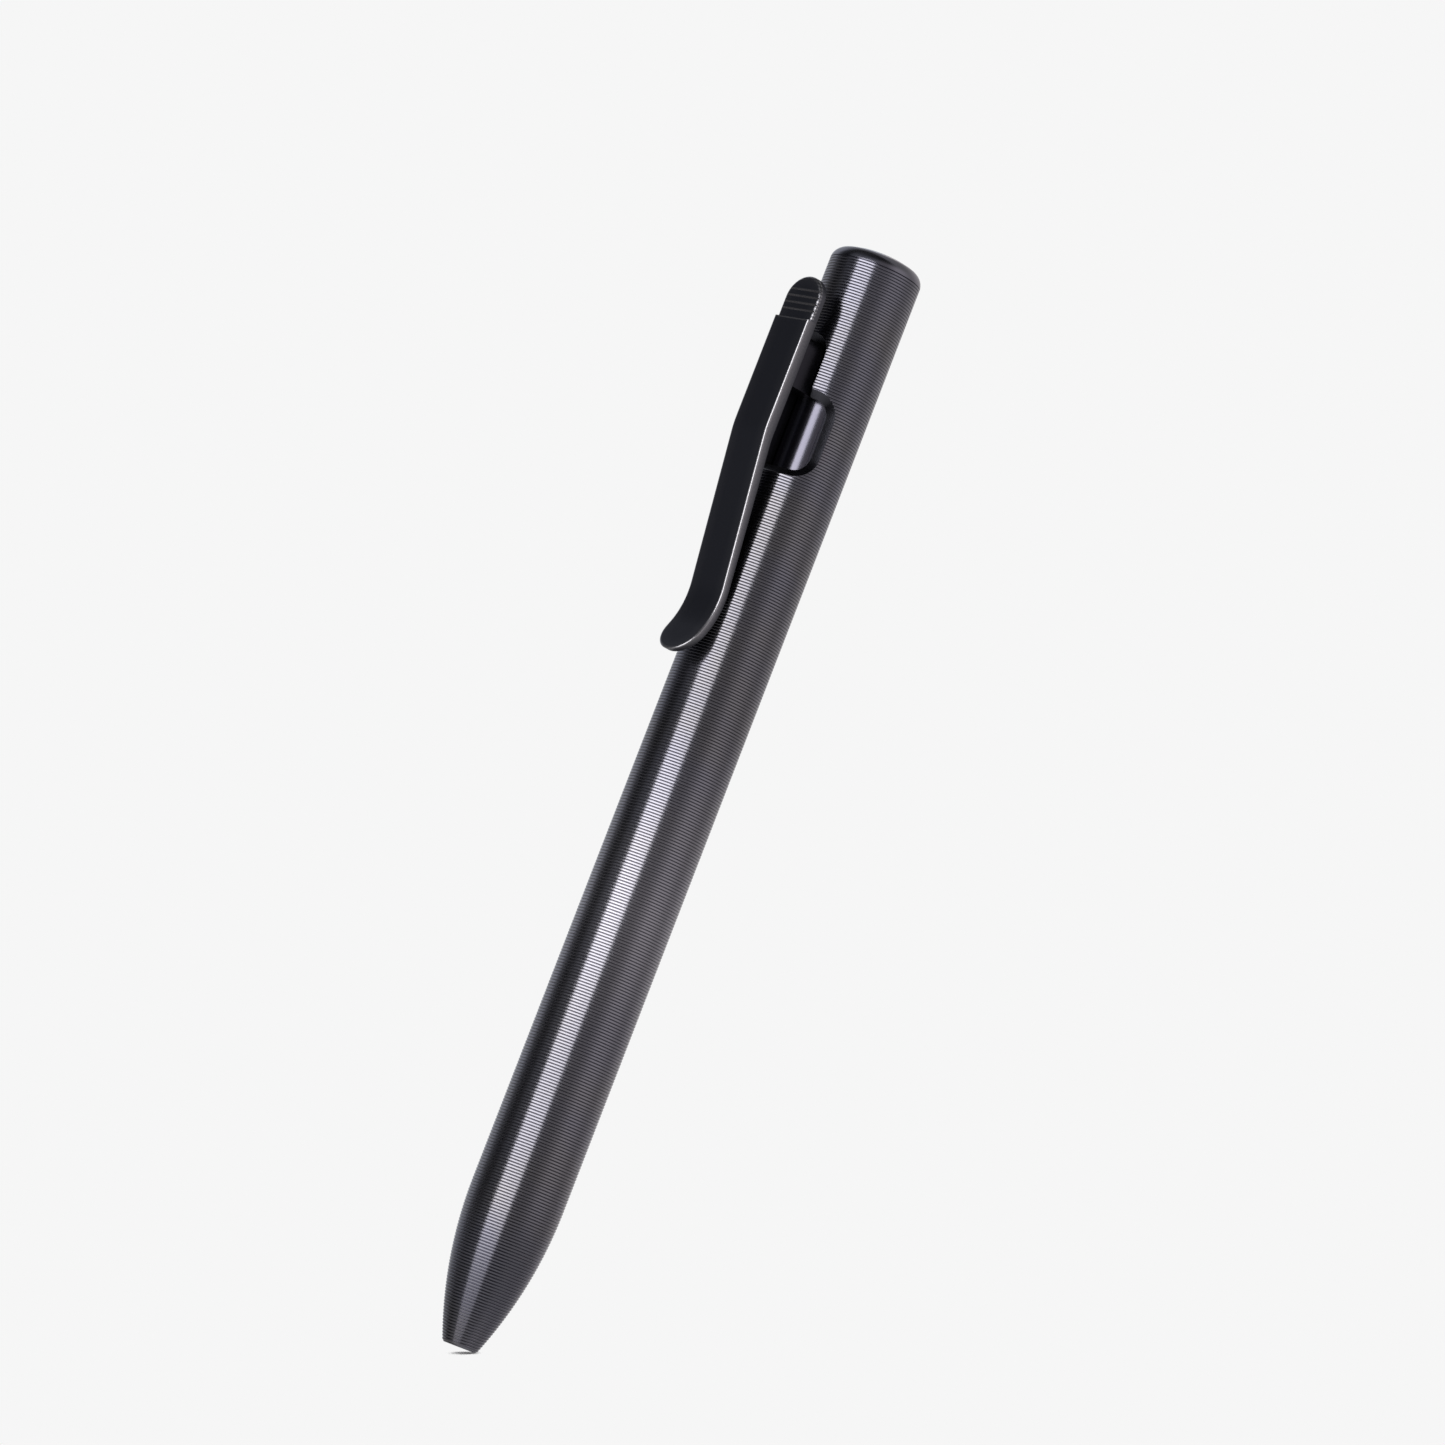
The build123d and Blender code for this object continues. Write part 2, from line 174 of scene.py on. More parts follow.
def lofted(name, loops):
    # A closed skin through loops of as many points each, capped at both ends.
    count = len(loops[0])
    verts = [point for loop in loops for point in loop]
    faces = []
    for row in range(len(loops) - 1):
        for j in range(count):
            k = (j + 1) % count
            faces.append((row * count + j, row * count + k, (row + 1) * count + k, (row + 1) * count + j))
    faces.append(tuple(range(count)))
    faces.append(tuple(range((len(loops) - 1) * count, len(loops) * count)))
    return tidyMesh(addPiece(name, verts, faces))


def combine(piece, tool, operation, finishIndex=0):
    # Cuts or joins a second solid, which is then deleted. Its faces take the piece's finish of this number.
    for mesh in (piece.data, tool.data):
        while len(mesh.materials) < 2:
            mesh.materials.append(None)
    tool.data.polygons.foreach_set("material_index", [finishIndex] * len(tool.data.polygons))
    step = piece.modifiers.new("combine", "BOOLEAN")
    step.object = tool
    step.operation = operation
    step.solver = "MANIFOLD"
    result = bpy.data.meshes.new_from_object(piece.evaluated_get(bpy.context.evaluated_depsgraph_get()))
    piece.modifiers.clear()
    spent = piece.data
    piece.data = result
    bpy.data.meshes.remove(spent)
    bpy.data.objects.remove(tool)
    piece.data.name = piece.name
    return piece


def arcPoints(centre, radius, startDegrees, endDegrees, steps):
    turns = [math.radians(startDegrees + (endDegrees - startDegrees) * i / steps) for i in range(steps + 1)]
    return [(centre[0] + radius * math.cos(a), centre[1] + radius * math.sin(a)) for a in turns]


def archedLoop(halfWidth, reach, low, high, steps=16):
    # Square below and round above, as the slot is and what slides in it.
    outline = arcPoints((0, high - halfWidth), halfWidth, 0, 180, steps)
    outline += [(-halfWidth, low), (halfWidth, low)]
    return [Vector((-h * mm, -reach * mm, w * mm)) for w, h in outline]


# Making materials
def hexColour(text):
    # an sRGB colour, made linear
    channels = [int(text[i:i + 2], 16) / 255 for i in (1, 3, 5)]
    return tuple(c / 12.92 if c <= 0.04045 else ((c + 0.055) / 1.055) ** 2.4 for c in channels) + (1,)


def addNode(tree, kind, settings=None, links=None):
    # Settings name a socket, by its name or its number, or a property of the node.
    node = tree.nodes.new(kind)
    for key, value in (settings or {}).items():
        if isinstance(key, int) or key in node.inputs:
            node.inputs[key].default_value = value
        else:
            setattr(node, key, value)
    for key, source in (links or {}).items():
        tree.links.new(source, node.inputs[key])
    return node


def newMaterial(name, settings):
    material = bpy.data.materials.new(name)
    material.use_nodes = True
    tree = material.node_tree
    tree.nodes.clear()
    shader = addNode(tree, "ShaderNodeBsdfPrincipled", settings)
    addNode(tree, "ShaderNodeOutputMaterial", links={"Surface": shader.outputs[0]})
    place = addNode(tree, "ShaderNodeTexCoord").outputs["Object"]
    return material, tree, shader, place


def grainNoise(tree, place, grainSize, detail=3.0, stretch=(1, 1, 1)):
    # Noise whose grains are about this many millimetres across, longer along an axis where stretch is small.
    scaled = addNode(tree, "ShaderNodeMapping", {"Scale": stretch}, {"Vector": place})
    return addNode(tree, "ShaderNodeTexNoise", {"Scale": 1 / (grainSize * mm), "Detail": detail},
                   {"Vector": scaled.outputs[0]}).outputs["Fac"]


def spread(tree, value, low, high, fromLow=0.3, fromHigh=0.7):
    # From one range to another, where an end can be a number or a socket. Noise mostly stays in the first.
    ends = {"From Min": fromLow, "From Max": fromHigh, "To Min": low, "To Max": high}
    links = {key: end for key, end in ends.items() if isinstance(end, bpy.types.NodeSocket)}
    numbers = {key: end for key, end in ends.items() if key not in links}
    return addNode(tree, "ShaderNodeMapRange", numbers, {"Value": value, **links}).outputs[0]


def blendColours(tree, share, first, second):
    ramp = addNode(tree, "ShaderNodeValToRGB", links={"Fac": share})
    ramp.color_ramp.elements[0].color = hexColour(first)
    ramp.color_ramp.elements[1].color = hexColour(second)
    return ramp.outputs["Color"]


def setStops(ramp, levels):
    while len(ramp.elements) < len(levels):
        ramp.elements.new(0.5)
    for stop, (position, level) in zip(ramp.elements, levels):
        stop.position = position
        stop.color = (level, level, level, 1)


def addBump(tree, shader, height, depth):
    bump = addNode(tree, "ShaderNodeBump", {"Distance": depth * mm, "Strength": 1.0}, {"Height": height})
    tree.links.new(bump.outputs[0], shader.inputs["Normal"])


# The black coating on the turned pieces, with sizes in millimetres. Along the pen its tint is painted paler
# over a middle band, a painted highlight that stands in for the brighter light there: each pair is a share
# of the pen's length from the nose, and how much.
coating = {
    "tint": "#74737c",
    "patchTint": "#777579",
    "patchSize": 9.0,
    "patchRange": (0.4, 0.65),
    "litBandTint": "#8f8d93",
    "litBandPlaces": ((0.1, 0.0), (0.2, 0.25), (0.29, 0.4), (0.34, 0.7), (0.39, 1.0), (0.44, 0.7), (0.5, 0.4),
                   (0.56, 0.0)),
    "markSize": 0.05,
    "markStretch": (1, 0.05, 0.05),
    "markDepth": 0.0006,
    "roughness": (0.13, 0.25),
}


def blackCoatedSteel():
    # Turned steel with a thin hard black coating: glossy, a little violet, with faint brown patches
    # where the coating is thinner, and fine lathe marks round the rings.
    material, tree, shader, place = newMaterial("turned steel, black coated, painted light band", {"Metallic": 1.0})
    patches = grainNoise(tree, place, coating["patchSize"], detail=2.0)
    tint = blendColours(tree, spread(tree, patches, 0, 1, *coating["patchRange"]), coating["tint"],
                        coating["patchTint"])
    # painted highlight: over a band along the middle of the pen the tint is lifted to a paler one
    towardsNose = addNode(tree, "ShaderNodeSeparateXYZ", links={0: place}).outputs["X"]
    litBand = addNode(tree, "ShaderNodeValToRGB",
                   links={"Fac": spread(tree, towardsNose, 1, 0, -penTop * mm, 0)})
    setStops(litBand.color_ramp, coating["litBandPlaces"])
    tint = addNode(tree, "ShaderNodeMix", {"data_type": "RGBA", 7: hexColour(coating["litBandTint"])},
                   {0: litBand.outputs["Color"], 6: tint}).outputs[2]
    tree.links.new(tint, shader.inputs["Base Color"])
    marks = grainNoise(tree, place, coating["markSize"], detail=2.0, stretch=coating["markStretch"])
    tree.links.new(spread(tree, marks, *coating["roughness"]), shader.inputs["Roughness"])
    addBump(tree, shader, marks, coating["markDepth"])
    return material


# The blasted finish of the clip, with sizes in millimetres. Each pair is for whole coating and for the pale
# edges, which are bare steel and painted highlight.
blasting = {
    "tints": ("#3c3d45", "#a9a7aa"),
    "roughness": (0.42, 0.28),
    "grainSize": 0.12,
    "grainDepth": 0.004,
    "mottleSize": 0.25,
    "mottleLeast": 0.7,
}


def blastedSteel():
    # Milled steel, bead blasted and then coated black: matt, with a fine even grain. Its broken edges are
    # painted pale: partly bare steel where the coating has gone, partly a painted highlight, with painted
    # glints and sheen.
    material, tree, shader, place = newMaterial("blasted steel, black coated, painted highlights", {"Metallic": 1.0})
    grain = grainNoise(tree, place, blasting["grainSize"])
    wornAndLit = addNode(tree, "ShaderNodeAttribute", {"attribute_name": "wear_and_painted_light"}).outputs["Fac"]
    mottle = spread(tree, grainNoise(tree, place, blasting["mottleSize"]), blasting["mottleLeast"], 1.0)
    share = addNode(tree, "ShaderNodeMath", {"operation": "MULTIPLY"}, {0: wornAndLit, 1: mottle}).outputs[0]
    tree.links.new(blendColours(tree, share, *blasting["tints"]), shader.inputs["Base Color"])
    tree.links.new(spread(tree, share, *blasting["roughness"], 0, 1), shader.inputs["Roughness"])
    addBump(tree, shader, grain, blasting["grainDepth"])
    return material


# The polish of the slider, with sizes in millimetres
polish = {
    "tints": ("#62616c", "#66646e"),
    "cloudSize": 6.0,
    "ringSize": 0.08,
    "ringStretch": (1, 0.02, 0.02),
    "roughness": (0.2, 0.23),
}


def polishedSteel():
    # Turned steel, polished and coated black: a near mirror with the faintest rings.
    material, tree, shader, place = newMaterial("polished steel, black coated", {"Metallic": 1.0})
    faintRings = grainNoise(tree, place, polish["ringSize"], detail=2.0, stretch=polish["ringStretch"])
    clouds = spread(tree, grainNoise(tree, place, polish["cloudSize"], detail=2.0), 0, 1)
    tree.links.new(blendColours(tree, clouds, *polish["tints"]), shader.inputs["Base Color"])
    tree.links.new(spread(tree, faintRings, *polish["roughness"]), shader.inputs["Roughness"])
    return material


def grained(name, settings, tints, roughness, grainSize, swing, bumpShare=0.02):
    # One even grain, this many millimetres across, shifts the colour and sways the roughness by a share.
    material, tree, shader, place = newMaterial(name, settings)
    grain = grainNoise(tree, place, grainSize)
    tree.links.new(blendColours(tree, spread(tree, grain, 0, 1), *tints), shader.inputs["Base Color"])
    dullness = spread(tree, grain, roughness * (1 - swing), roughness * (1 + swing))
    tree.links.new(dullness, shader.inputs["Roughness"])
    addBump(tree, shader, grain, grainSize * bumpShare)
    return material


def plainMetal(name, first, second, roughness, grainSize, bumpShare=0.02):
    return grained(name, {"Metallic": 1.0}, (first, second), roughness, grainSize, swing=0.2,
                   bumpShare=bumpShare)


def moulded(name, first, second, roughness, grainSize, ior=1.49):
    return grained(name, {"IOR": ior}, (first, second), roughness, grainSize, swing=0.15)


# The plain finishes are given by two tints, a roughness and the size of their grain in millimetres
finishes = {
    "grooved_metal": blackCoatedSteel(),
    "blasted_metal": blastedSteel(),
    "polished_steel": polishedSteel(),
    # milled, then coated black and never scuffed bright; its tint is also painted dark, a painted shade, as
    # it sits in the clip's shadow
    "post_metal": plainMetal("milled steel, black coated, painted shade", "#35343a", "#3a393f", 0.34, 0.15, 0.003),
    # black oxide from the screw maker, with a slight oily sheen
    "screw_steel": plainMetal("black oxide steel", "#4c4c50", "#606064", 0.32, 0.1),
    # drawn wire, bright with fine lengthwise marks
    "spring_steel": plainMetal("drawn spring steel", "#b4b4b2", "#c8c8c6", 0.24, 0.06),
    # moulded rubber, matt and slightly dusty
    "seal_rubber": moulded("nitrile rubber", "#141414", "#202020", 0.55, 0.1),
    "bumper_rubber": moulded("black urethane rubber", "#1a1a1c", "#262628", 0.6, 0.15),
    # turned acetal, smooth and waxy
    "guide_plastic": moulded("white acetal", "#dcdcd6", "#e6e6e0", 0.3, 0.2, 1.48),
    # extruded tube, cloudy and glossy
    "tube_plastic": moulded("cloudy polypropylene", "#cfd2d2", "#dadcdc", 0.28, 0.8),
    # a wet dark ink behind the tube's wall
    "ink_gel": moulded("black gel ink", "#101014", "#18181e", 0.12, 1.0, 1.35),
    # clear grease that follows the ink
    "follower_grease": moulded("clear silicone grease", "#d8d6c4", "#e2e0d0", 0.1, 1.0, 1.41),
    # moulded plugs, grey with a satin skin
    "plug_plastic": moulded("grey moulded polypropylene", "#5c6064", "#686c70", 0.42, 0.3),
    # turned nickel silver with fine tool marks
    "point_steel": plainMetal("turned nickel silver", "#c2bfb4", "#d2cfc4", 0.2, 0.05),
    # ground carbide, wet with ink
    "ball_carbide": plainMetal("ground tungsten carbide", "#8a8a8c", "#9c9c9e", 0.12, 0.03),
}


# The bevel round the opening. Its tints and roughness are for the dull sides, painted dark as a painted
# shade, and the bright face. Where it turns to face the nose, over the range in stopFacing, its polish falls
# to stopShare.
bevelFinish = {
    "tints": ("#36353b", "#6c6c74"),
    "roughness": (0.5, 0.19),
    "stopShare": 0.1,
    "stopFacing": (0.5, 0.7),
}


def milledEdge():
    # The bevel round the opening is milled smooth, coated black and close to a mirror, but duller at
    # the window's top end, where the cutter stopped. The sides below it are left dull and painted dark, a
    # painted shade inside the opening.
    material, tree, shader, place = newMaterial("milled steel edge, black coated, painted shade inside", {"Metallic": 1.0})
    across = addNode(tree, "ShaderNodeVectorMath", {"operation": "MULTIPLY", 1: (0, 1, 1)}, {0: place})
    radius = addNode(tree, "ShaderNodeVectorMath", {"operation": "LENGTH"}, {0: across.outputs[0]})
    edge = (penRadius - body["bevel"]) * mm
    share = spread(tree, radius.outputs["Value"], 0, 1, edge - 2 * nearly * mm, edge + 2 * nearly * mm)
    facing = addNode(tree, "ShaderNodeTexCoord").outputs["Normal"]
    noseward = addNode(tree, "ShaderNodeSeparateXYZ", links={"Vector": facing}).outputs["X"]
    bright = spread(tree, noseward, share, bevelFinish["stopShare"], *bevelFinish["stopFacing"])
    # painted shade: inside the opening, below the bevel, the sides take the dark tint
    tree.links.new(blendColours(tree, share, *bevelFinish["tints"]), shader.inputs["Base Color"])
    tree.links.new(spread(tree, bright, *bevelFinish["roughness"], 0, 1), shader.inputs["Roughness"])
    return material


def dress(piece, slotName, body, *replaced, milledFinish=None):
    # Faces of the second finish are those that were milled afterwards.
    numbers = [face.material_index for face in piece.data.polygons]
    piece.data.materials.clear()
    piece.data.materials.append(finishes[slotName])
    if any(numbers):
        piece.data.materials.append(milledFinish)
        piece.data.polygons.foreach_set("material_index", numbers)
    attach(piece, body)
    if replaced:
        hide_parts(*replaced)
    return piece


for node in nodes.values():
    for place in node.material_slots:
        place.material = finishes[place.material.name]
print("materials made")


# The rings that are turned over the body and the nose, in millimetres: a flat land, then a V groove
rings = {"pitch": 0.373, "depth": 0.085, "landShare": 0.5}


def ringed(path):
    # Cuts rings into an outline of (height, radius), from its first point to its last. It starts and
    # ends in the bottom of a groove, where a seam can hide.
    lengths = [math.dist(a, b) for a, b in zip(path, path[1:])]
    total = sum(lengths)
    count = round(total / rings["pitch"])

    def spotAt(along, drop):
        # the drop goes inwards, square to the surface
        i = 0
        while i + 1 < len(lengths) and along > lengths[i]:
            along -= lengths[i]
            i += 1
        rise, out = ((b - a) / lengths[i] for a, b in zip(path[i], path[i + 1]))
        return path[i][0] + rise * along + out * drop, path[i][1] + out * along - rise * drop

    slope = (1 - rings["landShare"]) / 2
    points = []
    for i in range(count):
        for share, drop in ((0, rings["depth"]), (slope, 0), (1 - slope, 0)):
            points.append(spotAt((i + share) * total / count, drop))
    points.append(spotAt(total, rings["depth"]))
    return points


# The thread of the nose's spigot, in millimetres
thread = {"pitch": 0.75, "depth": 0.3}


def threaded(low, high, crest, root, segments):
    # A band whose rows of points climb with the thread, so that its crest is one clean helix.
    flank = (root + crest) / 2
    radii = [root, root, flank, crest, crest, crest, flank, root]
    rows = len(radii)
    step = thread["pitch"] / rows
    lastRow = math.ceil((high - low) / step)

    def point(row, j):
        height = low + row * step + thread["pitch"] * j / segments
        inside = low < height < high
        return onPen(min(max(height, low), high), radii[row % rows] if inside else root,
                     2 * math.pi * j / segments)

    verts, index = [], {}
    for row in range(-rows, lastRow + 1):
        for j in range(segments):
            index[row, j] = len(verts)
            verts.append(point(row, j))
    faces = []
    for row in range(-rows, lastRow):
        for j in range(segments):
            if j + 1 < segments:
                right, upperRight = index[row, j + 1], index[row + 1, j + 1]
            else:
                right = index[min(row + rows, lastRow), 0]
                upperRight = index[min(row + 1 + rows, lastRow), 0]
            corners = list(dict.fromkeys((index[row, j], right, upperRight, index[row + 1, j])))
            if len(corners) > 2:
                faces.append(corners)
    return verts, faces


# The body: a turned tube with a closed top, and the slot and window that are milled through its wall.
# From here on sizes are in millimetres and angles in degrees.
body = {
    "segments": 88,
    "edgeRadius": 1.7,
    "edgeArc": (88, 8),
    "edgeSteps": 16,
    "crownHeight": 0.35,
    "crownShares": (0.9, 0.6, 0.3, 0),
    "socketRadius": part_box("nose_oring")[1].z / mm + fits["seat"],
    "socketSpare": 0.6,
    "slotHalfWidth": postHalfWidth + fits["slide"],
    "slotTop": postTop + fits["slide"],
    "slotRun": 7.0,
    "sliderBelowWindow": 1.1,
    "windowTurn": 56.5,
    "windowCorner": 2.3,
    "footCorner": 0.6,
    "shoulder": 1.1,
    "bevel": 0.95,
    "arcSteps": {"slot": 24, "shoulder": 10, "corner": 14, "foot": 8},
    "cutNearShare": 0.72,
    "cutFarShare": 3.0,
}


def openingLoop(grow, radius):
    # The opening's outline, grown outwards by this much, laid on a cylinder of this radius. The
    # slot's sides stay parallel, and the window's far side lies along a radius.
    half, corner, shoulder = body["slotHalfWidth"], body["windowCorner"], body["shoulder"]
    slotTop, steps = body["slotTop"], body["arcSteps"]
    top, bottom = slotTop - body["slotRun"], sliderBottom + body["sliderBelowWindow"]
    farTurn = math.radians(body["windowTurn"]) - math.asin(half / penRadius)
    far = half + farTurn * penRadius
    outline = arcPoints((0, slotTop - half), half + grow, 180, 0, steps["slot"])
    outline += arcPoints((half + shoulder, top + shoulder), shoulder - grow, 180, 270,
                         steps["shoulder"])
    outline += arcPoints((far - corner, top - corner), corner + grow, 90, 0, steps["corner"])
    outline += arcPoints((far - corner, bottom + corner), corner + grow, 0, -90, steps["corner"])
    foot = body["footCorner"]
    outline += arcPoints((foot - half, bottom + foot), foot + grow, -90, -180, steps["foot"])
    points = []
    for across, height in outline:
        inner = math.asin(min(abs(across), half) / radius)
        if across > half:
            share = min(1, (across - half) / half)
            inner += (math.asin(half / penRadius) - inner) * share + (across - half) / penRadius
        elif across < -half:
            inner = -inner + (across + half) / penRadius
        else:
            inner = math.copysign(inner, across)
        points.append(onPen(height, radius, inner))
    return points


def barrelBody():
    crownLow = penTop - body["crownHeight"]
    edge = body["edgeRadius"]
    ringTop = crownLow - edge
    outer = ringed([(seamHeight, penRadius), (ringTop, penRadius)])
    # the edge starts just past the last ring, and the crown takes over before it is level
    rounding = arcPoints((ringTop, penRadius - edge), edge, *body["edgeArc"], body["edgeSteps"])
    crown = []
    for share in body["crownShares"]:
        radius = share * (penRadius - edge)
        height = penTop - body["crownHeight"] * (radius / penRadius) ** 2
        crown.append((max(height, rounding[-1][0]), radius))
    socketTop = spigotTop + body["socketSpare"]
    bore = [(bumperTop, 0), (bumperTop, boreRadius), (socketTop, boreRadius),
            (socketTop, body["socketRadius"]), (seamHeight, body["socketRadius"])]
    piece = turned("barrel_body_rings", outer + rounding + crown + bore, body["segments"])
    bevel = body["bevel"]
    # wide enough outside for its flat end to clear the body
    cutter = lofted("opening_cutter", [openingLoop(0, sliderRadius * body["cutNearShare"]),
                                       openingLoop(0, penRadius - bevel),
                                       openingLoop(bevel, penRadius),
                                       openingLoop(bevel, penRadius * body["cutFarShare"])])
    combine(piece, cutter, "DIFFERENCE", 1)
    return dress(shade(piece, sharpDegrees=24), "grooved_metal", "barrel", "barrel_body",
                 milledFinish=milledEdge())


barrelBody()
print("body made")


# The nose: an ogive with a small flat end, screwed into the body by a threaded spigot
nose = {
    "segments": 104,
    "taperLength": 19.45,
    "flatRadius": 2.19,
    "edgeBreak": 0.15,
    "tipHole": 1.25,
    "tipBreak": 0.2,
    "taperSteps": 80,
    "tipHoleTop": springLow - fits["springEnd"],
    "pocketRadius": -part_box("refill_spring")[0].z / mm + fits["springSide"],
    "pocketTop": springHigh + fits["springEnd"] - clipTravel - 2 * fits["stroke"],
    "boreRadius": refillRadius + fits["noseBore"],
    "spigotRadius": body["socketRadius"] - fits["running"],
    "grooveLow": 0.35,
    "grooveWidth": 0.8,
    "grooveDepth": 0.55,
    "leadIn": 0.4,
    "leadInDrop": 0.5,
}


def noseRadius(height):
    # A round arc that leaves the body's side smoothly and ends at the flat.
    taper, drop = nose["taperLength"], penRadius - nose["flatRadius"]
    if height >= taper:
        return penRadius
    bend = (taper ** 2 + drop ** 2) / (2 * drop)
    return penRadius - bend + math.sqrt(bend ** 2 - (taper - height) ** 2)


def noseSection():
    edge, tip, spigot = nose["edgeBreak"], nose["tipBreak"], nose["spigotRadius"]
    root = spigot - thread["depth"]
    lowGroove = seamHeight + nose["grooveLow"]
    highGroove = lowGroove + nose["grooveWidth"]
    profile = [(tip, nose["tipHole"]), (0, nose["tipHole"] + tip), (0, nose["flatRadius"] - edge)]
    steps = nose["taperSteps"]
    heights = [edge + (nose["taperLength"] - edge) * i / steps for i in range(steps + 1)]
    profile += ringed([(height, noseRadius(height)) for height in heights] + [(seamHeight, penRadius)])
    profile += [(seamHeight, spigot), (lowGroove, spigot), (lowGroove, spigot - nose["grooveDepth"]),
                (highGroove, spigot - nose["grooveDepth"]), (highGroove, root)]
    profile += [(spigotTop - nose["leadIn"], root), (spigotTop, spigot - nose["leadInDrop"])]
    profile += [(spigotTop, nose["boreRadius"]), (nose["pocketTop"], nose["boreRadius"]),
                (nose["pocketTop"], nose["pocketRadius"]), (nose["tipHoleTop"], nose["pocketRadius"]),
                (nose["tipHoleTop"], nose["tipHole"])]
    piece = turned("nose_section_rings", profile, nose["segments"])
    verts, faces = threaded(highGroove, spigotTop - nose["leadIn"], spigot, root, nose["segments"])
    work = bmesh.new()
    work.from_mesh(piece.data)
    # the plain band between the groove and the lead-in gives way to the thread
    plain = [f for f in work.faces
             if all(abs(math.hypot(v.co.y, v.co.z) / mm - root) < nearly for v in f.verts)]
    bmesh.ops.delete(work, geom=plain, context="FACES_ONLY")
    made = [work.verts.new(v) for v in verts]
    for corners in faces:
        work.faces.new([made[c] for c in corners])
    work.to_mesh(piece.data)
    work.free()
    tidyMesh(piece)
    return dress(shade(piece, sharpDegrees=24), "grooved_metal", "nose", "nose_section")


noseSection()
print("nose made")


# The slider: a polished cylinder with a cup for the refill's end, and a pocket for the post's foot
slider = {
    "segments": 160,
    "endRounding": 0.25,
    "endSteps": 6,
    "cupRadius": refillRadius + fits["slide"],
    "seatRadius": 2.62,
    "seatDepth": 1.5,
    "ringSetback": 1.1,
    "ringWidth": 1.0,
    "ringDepth": 0.4,
    "footNear": 0.9,
}


def sliderSleeve():
    outer, edge, steps = sliderRadius, slider["endRounding"], slider["endSteps"]
    ringHigh = sliderTop - slider["ringSetback"]
    ringLow = ringHigh - slider["ringWidth"]
    profile = arcPoints((sliderBottom + edge, outer - edge), edge, 180, 90, steps)
    profile += [(ringLow, outer), (ringLow, outer - slider["ringDepth"]),
                (ringHigh, outer - slider["ringDepth"]), (ringHigh, outer)]
    profile += arcPoints((sliderTop - edge, outer - edge), edge, 90, 0, steps)
    seatTop = refillTop + slider["seatDepth"]
    profile += [(sliderTop, 0), (seatTop, 0), (seatTop, slider["seatRadius"]),
                (refillTop, slider["seatRadius"]), (refillTop, slider["cupRadius"]),
                (sliderBottom, slider["cupRadius"])]
    piece = turned("slider_sleeve_polished", profile, slider["segments"])
    gap = fits["seat"]
    pocket = lofted("pocket_cutter", [archedLoop(postHalfWidth + gap, reach, postBottom - gap, postTop + gap)
                                      for reach in (slider["footNear"] - gap, outer + fits["overrun"])])
    combine(piece, pocket, "DIFFERENCE")
    return dress(shade(piece, sharpDegrees=24), "polished_steel", "carriage", "slider_sleeve")


sliderSleeve()
print("slider made")


# The clip: one milled strip, bent in at its lower end, with a serrated pad for the thumb at its top
clip = {
    "thickness": 1.55,
    "bendThickness": 1.05,
    "slope": 8.7,
    "flare": 25.0,
    "bendRadius": 10.0,
    "tipRise": 7.93,
    "kneeRadius": 12.0,
    "kneeStagger": 1.0,
    "bodyClearance": 0.35,
    "edgeRounding": 0.26,
    "padRounding": 0.4,
    "backRoundingShare": 0.3,
    "edgeSteps": 8,
    "facePoints": (0.6, 1.1, 1.7, 2.3),
    "straightRows": 110,
    "endRows": 20,
    "padRows": 60,
    "bendSteps": 40,
    "kneeSteps": 12,
    "bossSinkShare": 0.6,
    "padLength": 5.62,
    "padRecess": 0.45,
    "padStepRun": 0.06,
    "notches": 4,
    "notchPitch": 0.86,
    "notchDepth": 0.16,
    "firstNotch": 1.35,
    "cornerShare": 0.6,
    # The pale marks on the clip: its edges, bare steel with a painted highlight, a painted sheen near them,
    # a painted paler side, a pale band below the pad's step and painted glints along the pad's rim
    "paleEdgeWidth": 0.2,
    "sheenWidth": 1.4,
    "sheenShare": 0.09,
    "paintedSideLight": 0.17,
    "sideDepthShare": 0.9,
    "stepBand": 0.2,
    "stepBandShare": 0.8,
    "rimGlintsPerNotch": 2,
    "rimGlintShift": 0.25,
    "rimGlintMiddle": 0.6,
    "rimGlintSwing": 0.4,
}

padStep = clipTop - clip["padLength"]


def clipCurve(side):
    # The strip's face or its back, as (height, distance from the axis) from the tip up. Each is a
    # flared tip, a bend, a straight slope and a knee below a straight top.
    flare = math.radians(clip["flare"])
    bend = clip["bendRadius"]
    centre = (clipTip + clip["tipRise"], penRadius + clip["bodyClearance"] + clip["bendThickness"] + bend)
    slope, kneeRadius, top = math.radians(clip["slope"]), clip["kneeRadius"], clipFace
    kneeHeight = centre[0] + bend * math.sin(slope)
    kneeHeight += (top - centre[1] + bend * math.cos(slope)) / math.tan(slope)
    if side == "back":
        bend += clip["bendThickness"]
        top -= clip["thickness"]
        kneeHeight -= clip["kneeStagger"]
        rise, out = kneeHeight - centre[0], centre[1] - top
        slope = math.atan2(rise, out) - math.acos(bend / math.hypot(rise, out))
    low, high = clipTip - fits["overrun"], clipTop + fits["overrun"]
    flareEnd = (centre[0] - bend * math.sin(flare), centre[1] - bend * math.cos(flare))
    points = [(low, flareEnd[1] + (flareEnd[0] - low) * math.tan(flare))]
    for i in range(clip["bendSteps"] + 1):
        a = -flare + (slope + flare) * i / clip["bendSteps"]
        points.append((centre[0] + bend * math.sin(a), centre[1] - bend * math.cos(a)))
    kneeCentre = (kneeHeight + kneeRadius * math.tan(slope / 2), top - kneeRadius)
    for i in range(clip["kneeSteps"] + 1):
        a = slope * (1 - i / clip["kneeSteps"])
        points.append((kneeCentre[0] - kneeRadius * math.sin(a), kneeCentre[1] + kneeRadius * math.cos(a)))
    points.append((high, top))
    return points


